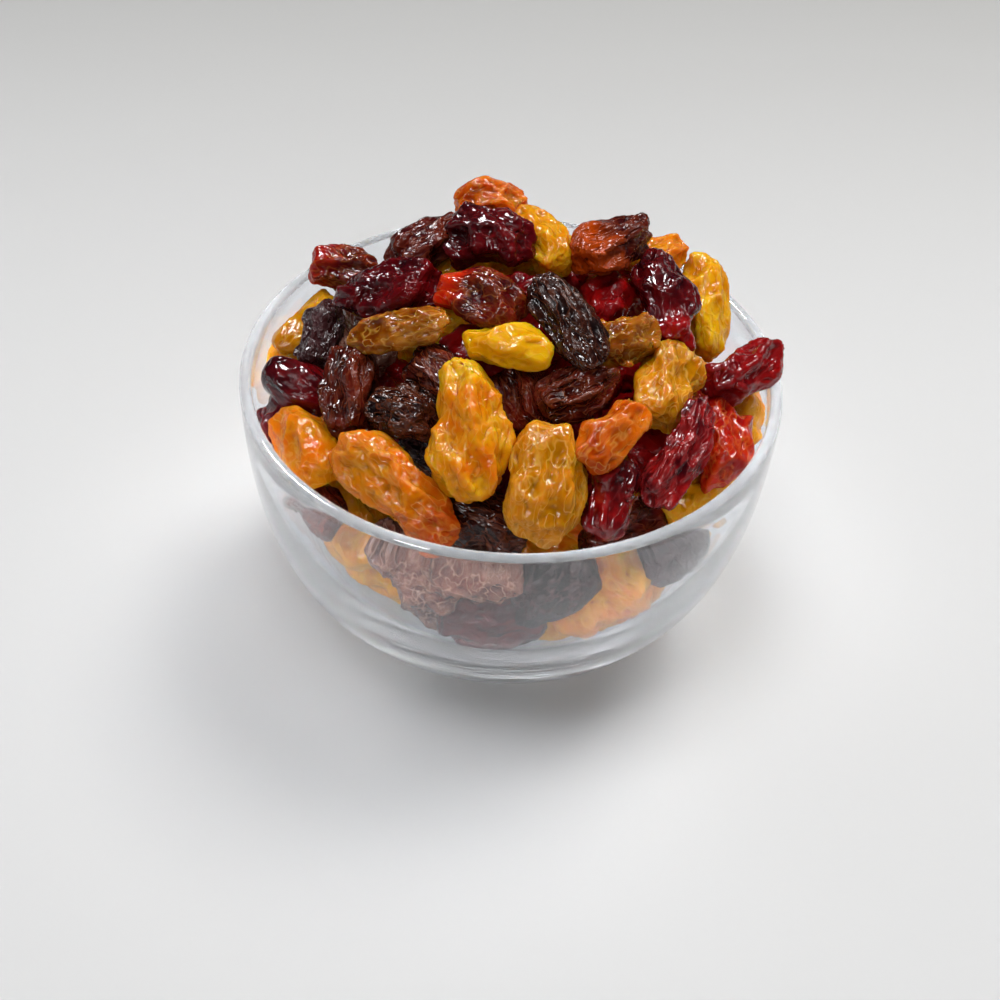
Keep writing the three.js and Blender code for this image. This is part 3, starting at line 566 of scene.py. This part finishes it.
def bowlProfile():
    # radius and height from the middle of the foot up the outside, over the lip and down to the well
    rimRound = bowl["wall"] / 2
    shoulder = bowl["height"] - rimRound
    outer = wallPoints(bowl["rimRadius"], shoulder, bowl["foot"], 0)
    inner = wallPoints(bowl["rimRadius"] - bowl["wall"], shoulder, bowl["well"], bowl["base"])
    rim = []
    for i in range(1, bowl["rimSteps"]):
        angle = i / bowl["rimSteps"] * math.pi
        across = bowl["rimRadius"] - rimRound + rimRound * math.cos(angle)
        rim.append((across, shoulder + rimRound * math.sin(angle)))
    foot = [(0, 0), (bowl["foot"] / 2, 0)]
    well = [(bowl["well"] / 2, bowl["base"]), (0, bowl["base"])]
    return foot + outer[::-1] + rim + inner + well


# rings come in from ringTop down to ringFull, in mm as their depth is
glassLook = {
    "tint": (0.93, 0.965, 1.0, 1), "shadowTint": (0.93, 0.94, 0.95, 1), "ior": 1.52, "sheen": 0.12,
    "sheenRough": 0.6, "smudgeScale": 45, "smudgeRough": 0.05, "ringScale": 200, "ringWander": 5,
    "ringDetail": 0.4, "ringTop": 12, "ringFull": 4, "ringDepth": 0.05,
}


def makeGlass():
    material = bpy.data.materials.new("clearGlass")
    material.use_nodes = True
    tree = material.node_tree
    link = tree.links.new
    shader = tree.nodes["Principled BSDF"]
    for socket, value in {
        "Base Color": glassLook["tint"], "Sheen Weight": glassLook["sheen"],
        "Sheen Roughness": glassLook["sheenRough"], "Transmission Weight": 1, "IOR": glassLook["ior"],
    }.items():
        shader.inputs[socket].default_value = value
    # faint smudges
    place = addNode(tree, "ShaderNodeTexCoord")
    smudge = addNode(tree, "ShaderNodeTexNoise", {"Scale": glassLook["smudgeScale"]})
    link(place.outputs["Object"], smudge.inputs["Vector"])
    spread = addNode(tree, "ShaderNodeMapRange", {"To Max": glassLook["smudgeRough"]})
    link(smudge.outputs["Fac"], spread.inputs["Value"])
    link(spread.outputs[0], shader.inputs["Roughness"])
    # fine rings in the thick base
    rings = addNode(tree, "ShaderNodeTexWave", bands_direction="Z", values={
        "Scale": glassLook["ringScale"], "Distortion": glassLook["ringWander"],
        "Detail Scale": glassLook["ringDetail"],
    })
    link(place.outputs["Object"], rings.inputs["Vector"])
    split = addNode(tree, "ShaderNodeSeparateXYZ")
    link(place.outputs["Object"], split.inputs[0])
    low = addNode(tree, "ShaderNodeMapRange", {
        "From Min": glassLook["ringTop"] * mm, "From Max": glassLook["ringFull"] * mm,
    })
    link(split.outputs["Z"], low.inputs["Value"])
    ringHeight = addNode(tree, "ShaderNodeMath", operation="MULTIPLY")
    link(rings.outputs["Fac"], ringHeight.inputs[0])
    link(low.outputs[0], ringHeight.inputs[1])
    bump = addNode(tree, "ShaderNodeBump", {"Strength": 1, "Distance": glassLook["ringDepth"] * mm})
    link(ringHeight.outputs[0], bump.inputs["Height"])
    link(bump.outputs[0], shader.inputs["Normal"])
    # light for the shadows passes straight through
    clear = addNode(tree, "ShaderNodeBsdfTransparent", {"Color": glassLook["shadowTint"]})
    light = addNode(tree, "ShaderNodeLightPath")
    mix = addNode(tree, "ShaderNodeMixShader")
    link(light.outputs["Is Shadow Ray"], mix.inputs[0])
    link(shader.outputs[0], mix.inputs[1])
    link(clear.outputs[0], mix.inputs[2])
    link(mix.outputs[0], tree.nodes["Material Output"].inputs["Surface"])
    return material


def makeBowl():
    profile = bowlProfile()
    deselectAll()
    # a plane merged to one point starts the profile, which is drawn point by point and spun
    bpy.ops.mesh.primitive_plane_add(size=bowl["well"] * mm, location=(0, 0, 0))
    piece = bpy.context.object
    piece.name = "glass_bowl_clear"
    bpy.ops.object.mode_set(mode="EDIT")
    bpy.ops.mesh.select_all(action="SELECT")
    bpy.ops.mesh.merge(type="CENTER")
    here = Vector()
    for radius, height in profile[1:]:
        there = Vector((radius * mm, 0, height * mm))
        bpy.ops.mesh.extrude_region_move(TRANSFORM_OT_translate={"value": there - here})
        here = there
    bpy.ops.mesh.select_all(action="SELECT")
    bpy.ops.mesh.spin(steps=bowl["turns"], angle=math.tau, center=(0, 0, 0), axis=(0, 0, 1))
    bpy.ops.mesh.select_all(action="SELECT")
    bpy.ops.mesh.remove_doubles(threshold=bowl["merge"] * mm)
    bpy.ops.mesh.normals_make_consistent(inside=False)
    bpy.ops.object.mode_set(mode="OBJECT")
    bpy.ops.object.shade_smooth()
    piece.data.materials.append(makeGlass())
    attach(piece, "root")
    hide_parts("glass_bowl")


makeBowl()
print("glass bowl")

# floor, just under the foot, with painted shade that makes it a little darker towards the back. Sizes in
# metres
floorLook = {
    "size": 6.0, "under": 0.0003, "near": (0.605, 0.605, 0.60, 1), "far": (0.375, 0.372, 0.36, 1),
    "farFrom": 0.30, "rough": 0.7, "shine": 0.2,
}


def makeFloor():
    deselectAll()
    bpy.ops.mesh.primitive_plane_add(size=floorLook["size"], location=(0, 0, -floorLook["under"]))
    floor = bpy.context.object
    floor.name = "floor"
    material = bpy.data.materials.new("paleFloor")
    material.use_nodes = True
    tree = material.node_tree
    link = tree.links.new
    shader = tree.nodes["Principled BSDF"]
    shader.inputs["Roughness"].default_value = floorLook["rough"]
    shader.inputs["Specular IOR Level"].default_value = floorLook["shine"]
    place = addNode(tree, "ShaderNodeTexCoord")
    split = addNode(tree, "ShaderNodeSeparateXYZ")
    reach = addNode(
        tree, "ShaderNodeMapRange", {"From Max": floorLook["farFrom"]}, interpolation_type="SMOOTHSTEP",
    )
    # painted shade: the floor's tone falls from near to far towards the back
    mix = addNode(tree, "ShaderNodeMix", {6: floorLook["near"], 7: floorLook["far"]}, data_type="RGBA")
    link(place.outputs["Object"], split.inputs[0])
    link(split.outputs["Y"], reach.inputs["Value"])
    link(reach.outputs[0], mix.inputs[0])
    link(mix.outputs[2], shader.inputs["Base Color"])
    floor.data.materials.append(material)
    floor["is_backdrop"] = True


makeFloor()

# soft light: broad lamps that light the skins, and small ones, the glints, that show in the gloss alone.
# Places and sizes in metres, power in watts
warm = (1.0, 0.99, 0.98)
cool = (0.96, 0.97, 1.0)
paleCool = (0.97, 0.98, 1.0)
lampAim = Vector((0, 0, 0.03))
lamps = {
    "key": {"place": (0.30, 0.34, 0.72), "size": 0.36, "power": 4.6, "color": warm},
    "top": {"place": (-0.14, -0.06, 0.80), "size": 0.34, "power": 3.0, "color": cool},
    "left": {"place": (-0.62, 0.10, 0.34), "size": 0.30, "power": 0.4, "color": cool},
    "front": {"place": (0.05, -0.75, 0.50), "size": 0.50, "power": 1.2, "color": warm},
    "backGlint": {"place": (0.30, 0.34, 0.72), "size": 0.24, "power": 13, "color": warm},
    "leftGlint": {"place": (-0.28, 0.30, 0.55), "size": 0.15, "power": 4.5, "color": paleCool},
    "frontGlint": {"place": (-0.34, -0.46, 0.52), "size": 0.14, "power": 2.2, "color": paleCool},
    "topGlint": {"place": (-0.14, -0.06, 0.80), "size": 0.15, "power": 3.5, "color": paleCool},
}
for name, lamp in lamps.items():
    deselectAll()
    bpy.ops.object.light_add(type="AREA", location=lamp["place"])
    light = bpy.context.object
    light.name = name + "Light"
    light.data.size = lamp["size"]
    light.data.energy = lamp["power"]
    light.data.color = lamp["color"]
    light.visible_diffuse = not name.endswith("Glint")
    light.visible_glossy = name.endswith("Glint")
    light.rotation_mode = "QUATERNION"
    light.rotation_quaternion = (lampAim - Vector(lamp["place"])).to_track_quat("-Z", "Y")

# room round the bowl, from its horizon to straight above. Seen through glass it is brighter, as if its
# pale walls stood close, and the gloss shows it dimly
room = {
    "horizon": (0.62, 0.69, 0.82, 1), "above": (1.0, 1.0, 1.0, 1), "rise": (-0.05, 0.8),
    "strength": 0.22, "throughGlass": 1.1, "inGloss": 0.15,
}


def makeRoom():
    world = bpy.data.worlds.new("studio")
    bpy.context.scene.world = world
    world.use_nodes = True
    tree = world.node_tree
    link = tree.links.new
    background = tree.nodes["Background"]
    direction = addNode(tree, "ShaderNodeTexCoord")
    split = addNode(tree, "ShaderNodeSeparateXYZ")
    link(direction.outputs["Generated"], split.inputs[0])
    rise = addNode(tree, "ShaderNodeMapRange", {"From Min": room["rise"][0], "From Max": room["rise"][1]})
    link(split.outputs["Z"], rise.inputs["Value"])
    mix = addNode(tree, "ShaderNodeMix", {6: room["horizon"], 7: room["above"]}, data_type="RGBA")
    link(rise.outputs[0], mix.inputs[0])
    link(mix.outputs[2], background.inputs["Color"])
    seen = addNode(tree, "ShaderNodeLightPath")
    strength = addNode(
        tree, "ShaderNodeMapRange", {"To Min": room["strength"], "To Max": room["throughGlass"]},
    )
    link(seen.outputs["Is Transmission Ray"], strength.inputs["Value"])
    dimmer = addNode(tree, "ShaderNodeMapRange", {"To Min": 1.0, "To Max": room["inGloss"]})
    link(seen.outputs["Is Glossy Ray"], dimmer.inputs["Value"])
    both = addNode(tree, "ShaderNodeMath", operation="MULTIPLY")
    link(strength.outputs[0], both.inputs[0])
    link(dimmer.outputs[0], both.inputs[1])
    link(both.outputs[0], background.inputs["Strength"])


makeRoom()
# the tones are shown as they are, and light runs far inside the glass before it comes out
bpy.context.scene.view_settings.view_transform = "Standard"
bounces = {"max_bounces": 32, "glossy_bounces": 24, "transmission_bounces": 32, "diffuse_bounces": 3}
for setting, count in bounces.items():
    setattr(bpy.context.scene.cycles, setting, count)

# camera at the photo's angle: places in metres, turn in degrees, lens and sensor in mm
cameraLook = {
    "place": (0, -0.16285, 0.16965), "aim": (-0.0008, 0.0122, 0), "turn": 2.93, "lens": 50.4, "sensor": 36,
    "nearest": 0.01,
}
deselectAll()
bpy.ops.object.camera_add(location=cameraLook["place"])
camera = bpy.context.object
camera.rotation_mode = "QUATERNION"
facing = (Vector(cameraLook["aim"]) - Vector(cameraLook["place"])).to_track_quat("-Z", "Y")
camera.rotation_quaternion = facing @ Quaternion((0, 0, 1), math.radians(cameraLook["turn"]))
camera.data.sensor_width = cameraLook["sensor"]
camera.data.lens = cameraLook["lens"]
camera.data.clip_start = cameraLook["nearest"]
bpy.context.scene.camera = camera
print("floor, light and camera")

triangles = sum(len(p.vertices) - 2 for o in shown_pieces() for p in o.data.polygons)
print("triangles", triangles)
